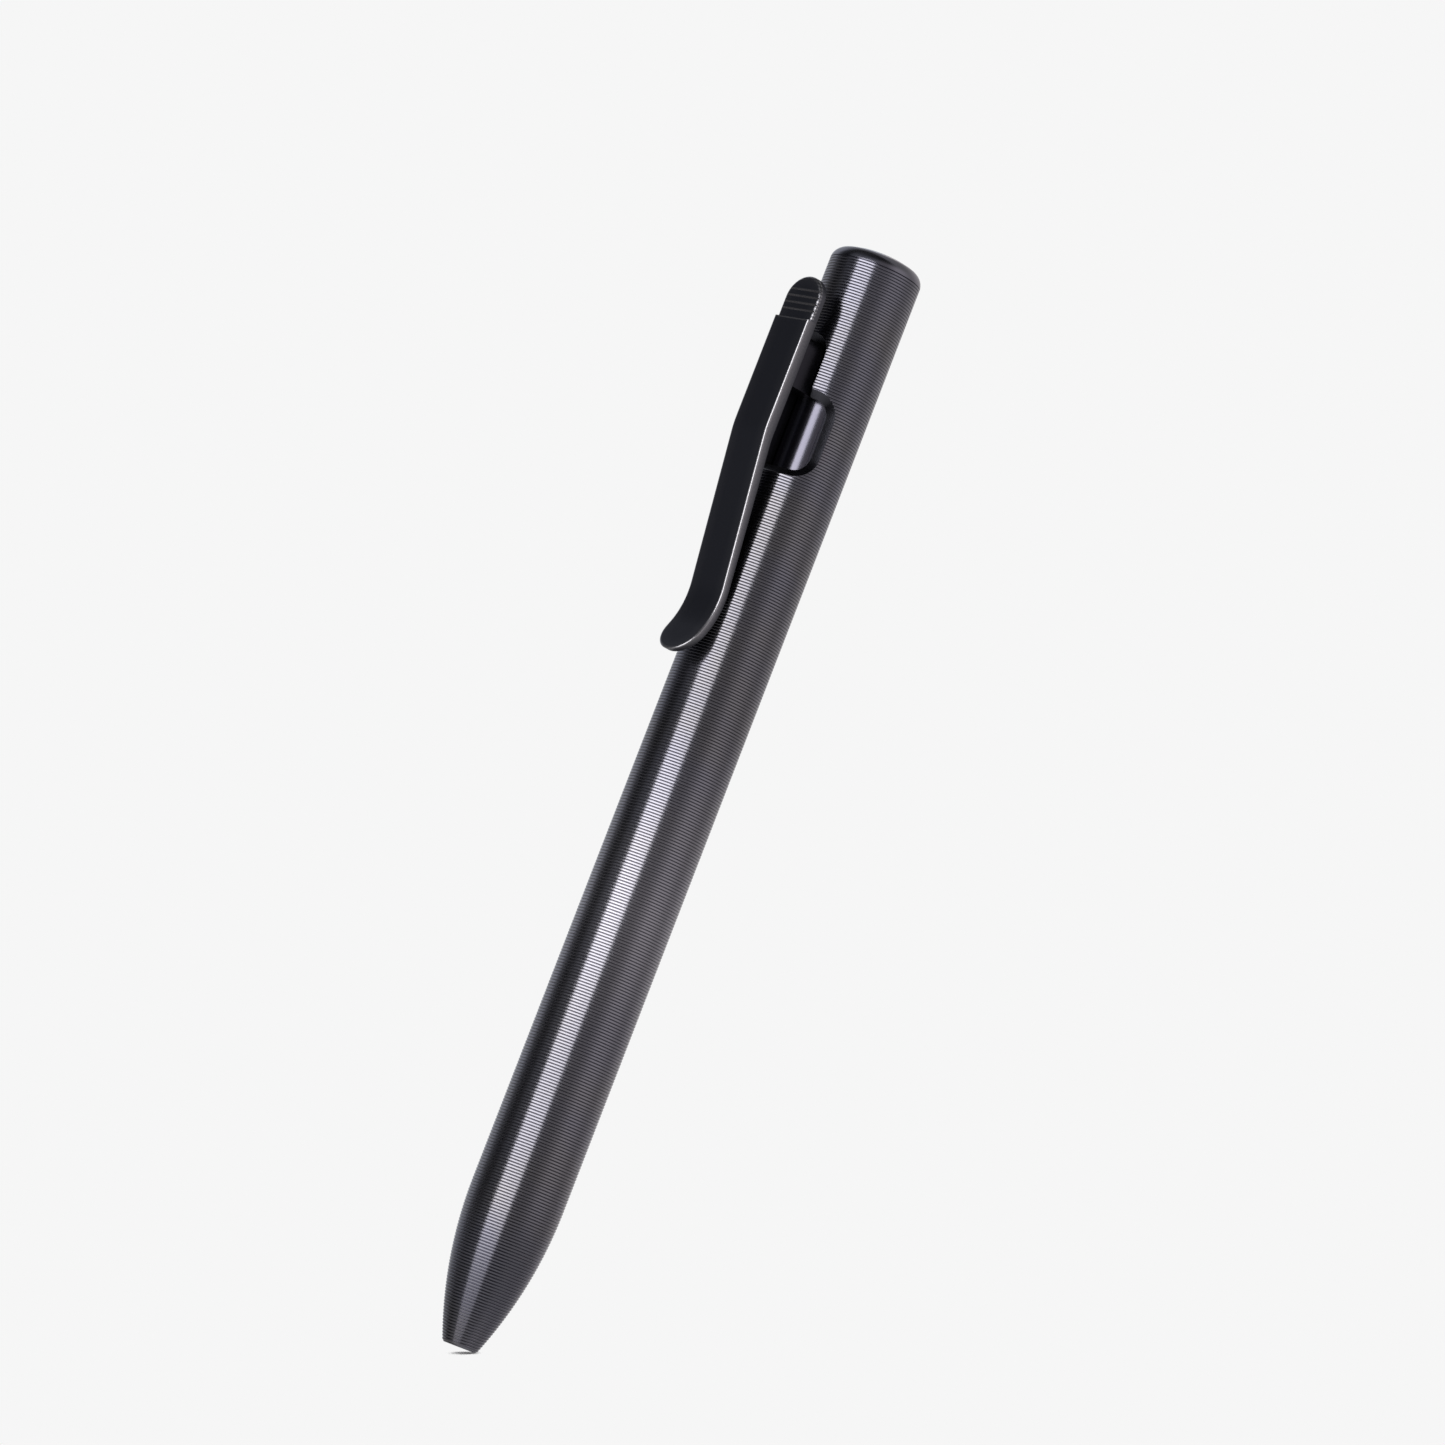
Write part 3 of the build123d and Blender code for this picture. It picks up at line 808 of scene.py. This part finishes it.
def readCurve(points, height):
    for (h0, d0), (h1, d1) in zip(points, points[1:]):
        if h0 <= height <= h1:
            return d0 + (d1 - d0) * (height - h0) / max(h1 - h0, 1e-9)
    return points[-1][1]


def rimDistance(across, height):
    # How far a spot of the strip's plan is inside its rounded-ended outline.
    centreLow, centreHigh = clipTip + clipHalfWidth, clipTop - clipHalfWidth
    past = max(centreLow - height, height - centreHigh, 0)
    return clipHalfWidth - math.hypot(past, across) if past > 0 else clipHalfWidth - abs(across)


def roundingAt(height):
    return clip["padRounding"] if height > padStep - nearly else clip["edgeRounding"]


def clipBlank():
    widest, steps = max(clip["padRounding"], clip["edgeRounding"]), clip["edgeSteps"]
    insets = [widest * (1 - math.cos(math.pi / 2 * i / steps)) for i in range(steps + 1)]
    insets += clip["facePoints"]
    face, back = clipCurve("face"), clipCurve("back")
    centreLow, centreHigh = clipTip + clipHalfWidth, clipTop - clipHalfWidth
    rows = clip["straightRows"]
    heights = [centreLow + (centreHigh - centreLow) * i / rows for i in range(rows + 1)]
    for inset in insets:
        heights += [centreLow - (clipHalfWidth - inset), centreHigh + (clipHalfWidth - inset)]
    for i in range(1, clip["endRows"]):
        beyond = clipHalfWidth * math.sin(i / clip["endRows"] * math.pi / 2)
        heights += [centreLow - beyond, centreHigh + beyond]
    stepBandLow, stepRun = padStep - clip["stepBand"], clip["padStepRun"]
    heights += [stepBandLow - stepRun, stepBandLow, padStep - stepRun, padStep]
    heights += [padStep + (clipTop - padStep) * i / clip["padRows"] for i in range(1, clip["padRows"])]
    heights = sorted({round(height, 4) for height in heights})

    def outerAt(height):
        full = readCurve(face, height)
        return full - clip["padRecess"] * min(1, max(0, (height - padStep) / stepRun + 1))

    def dropAt(inset, height):
        rounding = roundingAt(height)
        past = max(0, rounding - inset)
        return rounding - math.sqrt(max(0, rounding ** 2 - past ** 2))

    loops = []
    for height in heights:
        past = max(centreLow - height, height - centreHigh, 0)
        outerSide, backSide = [], []
        for inset in insets + [clipHalfWidth]:
            # past the middle of a rounded end the strip gets no narrower than nothing
            inset = min(inset, clipHalfWidth - past)
            width = math.sqrt(max(0, (clipHalfWidth - inset) ** 2 - past ** 2))
            drop = dropAt(inset, height)
            outerSide.append((width, outerAt(height) - drop))
            backSide.append((width, readCurve(back, height) + drop * clip["backRoundingShare"]))
        loop = [(-w, d) for w, d in outerSide] + outerSide[-2::-1]
        loop += backSide[:-1] + [(-w, d) for w, d in reversed(backSide)]
        loops.append([Vector((-height * mm, -d * mm, w * mm)) for w, d in loop])
    return lofted("clip_milled", loops)


def clipStrip():
    piece = clipBlank()
    boss = lofted("boss", [archedLoop(postHalfWidth, reach, postBottom, postTop)
                           for reach in (postJoint, clipFace - clip["thickness"] * clip["bossSinkShare"])])
    combine(piece, boss, "UNION", 1)
    padFace = clipFace - clip["padRecess"]
    depth = clip["notchDepth"]
    wide = clipHalfWidth + fits["overrun"]
    for i in range(clip["notches"]):
        height = padStep + (i + clip["firstNotch"]) * clip["notchPitch"]
        # a square V, which starts as far above the pad as it goes into it
        section = [(height - depth * 2, padFace + depth), (height, padFace - depth),
                   (height + depth * 2, padFace + depth)]
        notch = lofted("notch", [[Vector((-h * mm, -d * mm, side * mm)) for h, d in section]
                                 for side in (-wide, wide)])
        combine(piece, notch, "DIFFERENCE")
    tidyMesh(piece, mergeDistance=0.0002)
    face = clipCurve("face")
    wear_and_painted_light = piece.data.attributes.new("wear_and_painted_light", "FLOAT", "POINT")
    for spot, vertex in zip(wear_and_painted_light.data, piece.data.vertices):
        height, distance, across = -vertex.co.x / mm, -vertex.co.y / mm, vertex.co.z / mm
        depthBelow = readCurve(face, height) - distance
        if height > padStep:
            depthBelow -= clip["padRecess"]
        inside = rimDistance(across, height)
        rounding = roundingAt(height)
        # the broken edges are pale: bare steel where the coating has gone, and a painted highlight along
        # them
        corner = math.hypot(inside, max(0, depthBelow)) - rounding * clip["cornerShare"]
        wornAndLit = max(0, 1 - max(0, corner) / clip["paleEdgeWidth"])
        if height > padStep:
            # the pad's rim is painted pale in dots over the ridges, painted glints where the ridges' rounded
            # ends catch the light, with the coating's tint between them
            phase = (height - padStep) / clip["notchPitch"] - clip["firstNotch"] + clip["rimGlintShift"]
            swing = clip["rimGlintSwing"] * math.cos(2 * math.pi * clip["rimGlintsPerNotch"] * phase)
            wornAndLit *= clip["rimGlintMiddle"] - swing
        # a pale band on the face just below the pad's step
        elif height > padStep - clip["stepBand"] - nearly and depthBelow < nearly:
            wornAndLit = max(wornAndLit, clip["stepBandShare"])
        # painted sheen: the face is painted a little paler towards its edges
        edgeSheen = clip["sheenShare"] * max(0, 1 - max(0, corner) / clip["sheenWidth"])
        # painted light: the side faces are painted a little paler
        onSide = inside < 2 * nearly and depthBelow > rounding * clip["sideDepthShare"]
        spot.value = max(wornAndLit, clip["paintedSideLight"] if onSide else edgeSheen)
    # the boss under the clip takes the dark post finish, a painted shade
    return dress(shade(piece, sharpDegrees=32), "blasted_metal", "carriage", "clip",
                 milledFinish=finishes["post_metal"])


clipStrip()
print("clip made")


# The return spring: one wire in a steady helix, drawn at its rest length; the real one closes up as the
# refill comes forward
spring = {"wire": 0.36, "turns": 9, "endGap": fits["springEnd"], "sides": 14, "pointsPerTurn": 40}


def refillSpring():
    radius = -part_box("refill_spring")[0].z / mm - spring["wire"] / 2
    low, high = springLow + spring["wire"] / 2, springHigh - spring["wire"] / 2
    count = spring["turns"] * spring["pointsPerTurn"]
    loops = []
    for i in range(count + 1):
        turn = 2 * math.pi * spring["turns"] * i / count
        centre = onPen(low + (high - low) * i / count, radius, turn)
        outwards = (onPen(0, 1, turn)).normalized()
        forwards = Vector((1, 0, 0))
        loops.append([centre + spring["wire"] / 2 * mm * (math.cos(a) * outwards + math.sin(a) * forwards)
                      for a in (2 * math.pi * k / spring["sides"] for k in range(spring["sides"]))])
    piece = shade(lofted("refill_spring_wire", loops), sharpDegrees=60)
    dress(piece, "spring_steel", "barrel", "refill_spring")
    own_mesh(piece)
    return piece


refillSpring()
print("spring made")


# The camera, at the photograph's angle: the pen leans to the right and its top leans away
view = {
    "lens": 139.5,
    "sensor": 36.0,
    "distance": 681.0,
    "nearest": 20.0,
    "furthest": 20000.0,
    "lean": 21.15,
    "tilt": 7.4,
    "turn": 46.5,
    "imageWidth": 1445,
    "aimHeight": 81.82,
    "aimPixel": (704.0, 715.28),
}


def cameraAxes():
    # The camera's right, up and backward directions, in the frame.
    lean, tilt, turn = (math.radians(view[key]) for key in ("lean", "tilt", "turn"))
    penInView = Vector((math.sin(lean) * math.cos(tilt), math.cos(lean) * math.cos(tilt), -math.sin(tilt)))
    facingInView = (Vector((0, 0, 1)) - penInView * penInView.z).normalized()
    rightInView = penInView.cross(facingInView)
    penAxis = Vector((-1, 0, 0))
    facing = onPen(0, 1, turn).normalized()
    right = onPen(0, 1, turn + math.pi / 2).normalized()
    toFrame = Matrix((right, penAxis, facing)).transposed()
    return toFrame @ Matrix((rightInView, penInView, facingInView))


def makeCamera():
    axes = cameraAxes()
    data = bpy.data.cameras.new("camera")
    data.lens = view["lens"]
    data.sensor_width = view["sensor"]
    data.clip_start = view["nearest"] * mm
    data.clip_end = view["furthest"] * mm
    camera = bpy.data.objects.new("camera", data)
    bpy.context.scene.collection.objects.link(camera)
    pixels = view["imageWidth"] / 2
    focal = view["lens"] / view["sensor"] * view["imageWidth"]
    depth = view["distance"] * mm
    aim = Vector(((view["aimPixel"][0] - pixels) / focal * depth,
                  -(view["aimPixel"][1] - pixels) / focal * depth, -depth))
    camera.matrix_world = Matrix.Translation(onPen(view["aimHeight"], 0, 0) - axes @ aim) @ axes.to_4x4()
    bpy.context.scene.camera = camera
    return axes


axes = makeCamera()
print("camera made")


# The studio. Walls are given by the direction that a ray leaves in, as a turn about the pen's axis
# from the side that faces the camera, and by how bright each is, from 0 to 1. The panel's fade runs
# from its lower end to its upper.
studio = {
    "background": 0.922,
    "evenLight": 0.8,
    "walls": ((-180, 0.92), (-163, 0.58), (-128, 0.68), (-112, 0.16), (-97, 0.02), (-84, 0.035),
              (-72, 0.2), (-58, 0.2), (-40, 0.27), (10, 0.28), (22, 0.31), (36, 0.52), (50, 0.79),
              (72, 0.74), (86, 0.57), (98, 0.49), (112, 0.54), (128, 0.66), (163, 0.6), (180, 0.92)),
    "leftTint": "#f2f6ff",
    "rightTint": "#fffafd",
    "lowWalls": ((-180, 0.34), (-150, 0.3), (-130, 0.24), (-100, 0.2), (-60, 0.3), (-30, 0.34), (15, 0.43),
                 (45, 0.36), (180, 0.34)),
    "floorWalls": ((-180, 0.6), (-150, 0.5), (-130, 0.15), (-100, 0.12), (-80, 0.3), (-30, 0.4), (0, 0.55),
                   (30, 0.72), (55, 0.6), (130, 0.56), (180, 0.6)),
    "floor": ((-180, 0.52), (180, 0.52)),
    "topWalls": ((-180, 0.4), (-150, 0.3), (-130, 0.05), (-100, 0.05), (-80, 0.08), (-20, 0.04),
                 (35, 0.02), (65, 0.38), (130, 0.42), (180, 0.4)),
    "ends": (("lowWalls", -0.05, 0.22), ("floorWalls", 0.6, 0.9), ("floor", 0.86, 0.96),
             ("topWalls", -0.55, -0.9)),
    "panelTurn": -29.3,
    "panelRise": -10.0,
    "panelDistance": 800.0,
    "panelWidth": 658.0,
    "panelHeight": 1120.0,
    "panelPower": 19.4,
    "panelFade": ((0.0, 0.036), (0.19, 0.077), (0.31, 0.14), (0.38, 0.22), (0.45, 0.29), (0.51, 0.43),
                  (0.6, 0.5), (0.636, 0.45), (0.65, 0.46), (0.661, 0.49), (0.677, 0.52), (0.69, 0.57),
                  (0.703, 0.62), (0.718, 0.62), (0.733, 0.51), (0.765, 0.48), (0.84, 0.6), (1.0, 0.6)),
    "panelRightShare": 0.8,
}


def makeWorld():
    world = bpy.data.worlds.new("studio")
    world.use_nodes = True
    tree = world.node_tree
    tree.nodes.clear()
    way = addNode(tree, "ShaderNodeTexCoord").outputs["Generated"]
    parts = addNode(tree, "ShaderNodeSeparateXYZ", links={0: way}).outputs
    minusY = addNode(tree, "ShaderNodeMath", {"operation": "MULTIPLY", 1: -1.0}, {0: parts["Y"]}).outputs[0]
    turn = addNode(tree, "ShaderNodeMath", {"operation": "ARCTAN2"}, {0: parts["Z"], 1: minusY}).outputs[0]
    # the ramp runs once round, and starts at the pale background behind the pen
    start = math.radians(view["turn"]) - math.pi
    shifted = addNode(tree, "ShaderNodeMath", {"operation": "SUBTRACT", 1: start}, {0: turn}).outputs[0]
    share = addNode(tree, "ShaderNodeMath", {"operation": "DIVIDE", 1: 2 * math.pi}, {0: shifted}).outputs[0]
    share = addNode(tree, "ShaderNodeMath", {"operation": "FRACT"}, {0: share}).outputs[0]

    def wallsRound(key):
        ramp = addNode(tree, "ShaderNodeValToRGB", links={"Fac": share})
        setStops(ramp.color_ramp, [((degrees + 180) / 360, level) for degrees, level in studio[key]])
        return ramp.outputs["Color"]

    light = wallsRound("walls")
    side = addNode(tree, "ShaderNodeMath", {"operation": "GREATER_THAN", 1: 0.5}, {0: share}).outputs[0]
    tint = addNode(tree, "ShaderNodeMix", {"data_type": "RGBA", 6: hexColour(studio["leftTint"]),
                                           7: hexColour(studio["rightTint"])}, {0: side}).outputs[2]
    light = addNode(tree, "ShaderNodeVectorMath", {"operation": "MULTIPLY"}, {0: light, 1: tint}).outputs[0]
    # Towards the nose the walls give way to the pale floor, and towards the top to the dark room. Each
    # end has its own walls, and where they start and are full along the pen's axis.
    for key, start, full in studio["ends"]:
        reach = addNode(tree, "ShaderNodeMapRange", {"From Min": start, "From Max": full,
                                                     "interpolation_type": "SMOOTHSTEP"},
                        {"Value": parts["X"]}).outputs[0]
        light = addNode(tree, "ShaderNodeMix", {"data_type": "RGBA"},
                        {0: reach, 6: light, 7: wallsRound(key)}).outputs[2]
    # The camera, metal and glass see the background and the walls. The background is the same pale
    # level to all of them, and matt surfaces are lit evenly.
    rays = addNode(tree, "ShaderNodeLightPath").outputs
    pale, even = studio["background"], studio["evenLight"]
    background = addNode(tree, "ShaderNodeMix", {"data_type": "RGBA", 7: (pale, pale, pale, 1)},
                         {0: rays["Is Camera Ray"], 6: light}).outputs[2]
    mirrored = addNode(tree, "ShaderNodeMath", {"operation": "MAXIMUM"},
                       {0: rays["Is Glossy Ray"], 1: rays["Is Transmission Ray"]}).outputs[0]
    seen = addNode(tree, "ShaderNodeMath", {"operation": "MAXIMUM"},
                   {0: rays["Is Camera Ray"], 1: mirrored}).outputs[0]
    colour = addNode(tree, "ShaderNodeMix", {"data_type": "RGBA", 6: (even, even, even, 1)},
                     {0: seen, 7: background}).outputs[2]
    shader = addNode(tree, "ShaderNodeBackground", {"Strength": 1.0}, {"Color": colour})
    addNode(tree, "ShaderNodeOutputWorld", links={"Surface": shader.outputs[0]})
    bpy.context.scene.world = world


def makePanel():
    # One tall soft light to the left of the camera gives the long highlight.
    data = bpy.data.lights.new("soft_panel", "AREA")
    data.shape = "RECTANGLE"
    data.size = studio["panelWidth"] * mm
    data.size_y = studio["panelHeight"] * mm
    data.energy = studio["panelPower"]
    # it gets dimmer towards its lower end, and a little towards its right
    data.use_nodes = True
    tree = data.node_tree
    tree.nodes.clear()
    spot = addNode(tree, "ShaderNodeNewGeometry").outputs["Parametric"]
    spot = addNode(tree, "ShaderNodeSeparateXYZ", links={0: spot}).outputs
    fade = addNode(tree, "ShaderNodeValToRGB", links={"Fac": spot["Y"]})
    setStops(fade.color_ramp, studio["panelFade"])
    sideways = addNode(tree, "ShaderNodeMapRange", {"To Min": 1.0, "To Max": studio["panelRightShare"]},
                       {"Value": spot["X"]}).outputs[0]
    glow = addNode(tree, "ShaderNodeEmission", links={"Color": fade.outputs["Color"], "Strength": sideways})
    addNode(tree, "ShaderNodeOutputLight", links={"Surface": glow.outputs[0]})
    panel = bpy.data.objects.new("soft_panel", data)
    bpy.context.scene.collection.objects.link(panel)
    turn = math.radians(view["turn"] + studio["panelTurn"])
    rise = math.radians(studio["panelRise"])
    middle = onPen(penTop / 2, 0, 0)
    towards = (onPen(0, math.cos(rise), turn) + onPen(math.sin(rise), 0, 0)).normalized()
    along = Vector((-1, 0, 0))
    side = along.cross(towards).normalized()
    upright = towards.cross(side)
    spin = Matrix((side, upright, towards)).transposed().to_4x4()
    panel.matrix_world = Matrix.Translation(middle + towards * studio["panelDistance"] * mm) @ spin
    panel.visible_camera = False


# The floor: a pale disc that the nose's edge rests on, square to the photograph's upright
floor = {"radius": 4.0, "sides": 96, "contactRadius": 0.9, "shadowRadius": 2.3, "shadowLeft": 1.2,
         "colour": "#f6f6f6"}


def makeFloor():
    up = axes @ Vector((0, 1, 0))
    lowest = min((onPen(0, nose["flatRadius"] - nose["edgeBreak"], math.radians(a)) for a in range(360)),
                 key=lambda point: point.dot(up))
    side = axes @ Vector((1, 0, 0))
    back = side.cross(up)
    count = floor["sides"]
    verts = [lowest + floor["radius"] * mm * (math.cos(a) * side + math.sin(a) * back)
             for a in (2 * math.pi * i / count for i in range(count))]
    piece = addPiece("floor", [lowest] + verts, [(0, (i + 1) % count + 1, i + 1) for i in range(count)])
    material = bpy.data.materials.new("pale studio paper")
    material.use_nodes = True
    tree = material.node_tree
    tree.nodes.clear()
    # matt paper near the nose, which takes its shadow, and nothing further out or from below
    paper = addNode(tree, "ShaderNodeBsdfDiffuse", {"Color": hexColour(floor["colour"])})
    clear = addNode(tree, "ShaderNodeBsdfTransparent")
    place = addNode(tree, "ShaderNodeTexCoord").outputs["Object"]
    middle = lowest - floor["shadowLeft"] * mm * side
    away = addNode(tree, "ShaderNodeVectorMath", {"operation": "DISTANCE", 1: tuple(middle)}, {0: place})
    fade = addNode(tree, "ShaderNodeMapRange", {"From Min": floor["contactRadius"] * mm,
                                                "From Max": floor["shadowRadius"] * mm,
                                                "interpolation_type": "SMOOTHSTEP"},
                   {"Value": away.outputs["Value"]}).outputs[0]
    below = addNode(tree, "ShaderNodeNewGeometry").outputs["Backfacing"]
    hidden = addNode(tree, "ShaderNodeMath", {"operation": "MAXIMUM"}, {0: fade, 1: below}).outputs[0]
    mixed = addNode(tree, "ShaderNodeMixShader", links={0: hidden, 1: paper.outputs[0], 2: clear.outputs[0]})
    addNode(tree, "ShaderNodeOutputMaterial", links={"Surface": mixed.outputs[0]})
    piece.data.materials.append(material)


makeWorld()
makePanel()
makeFloor()
bpy.context.scene.view_settings.view_transform = "Standard"
print("studio made")
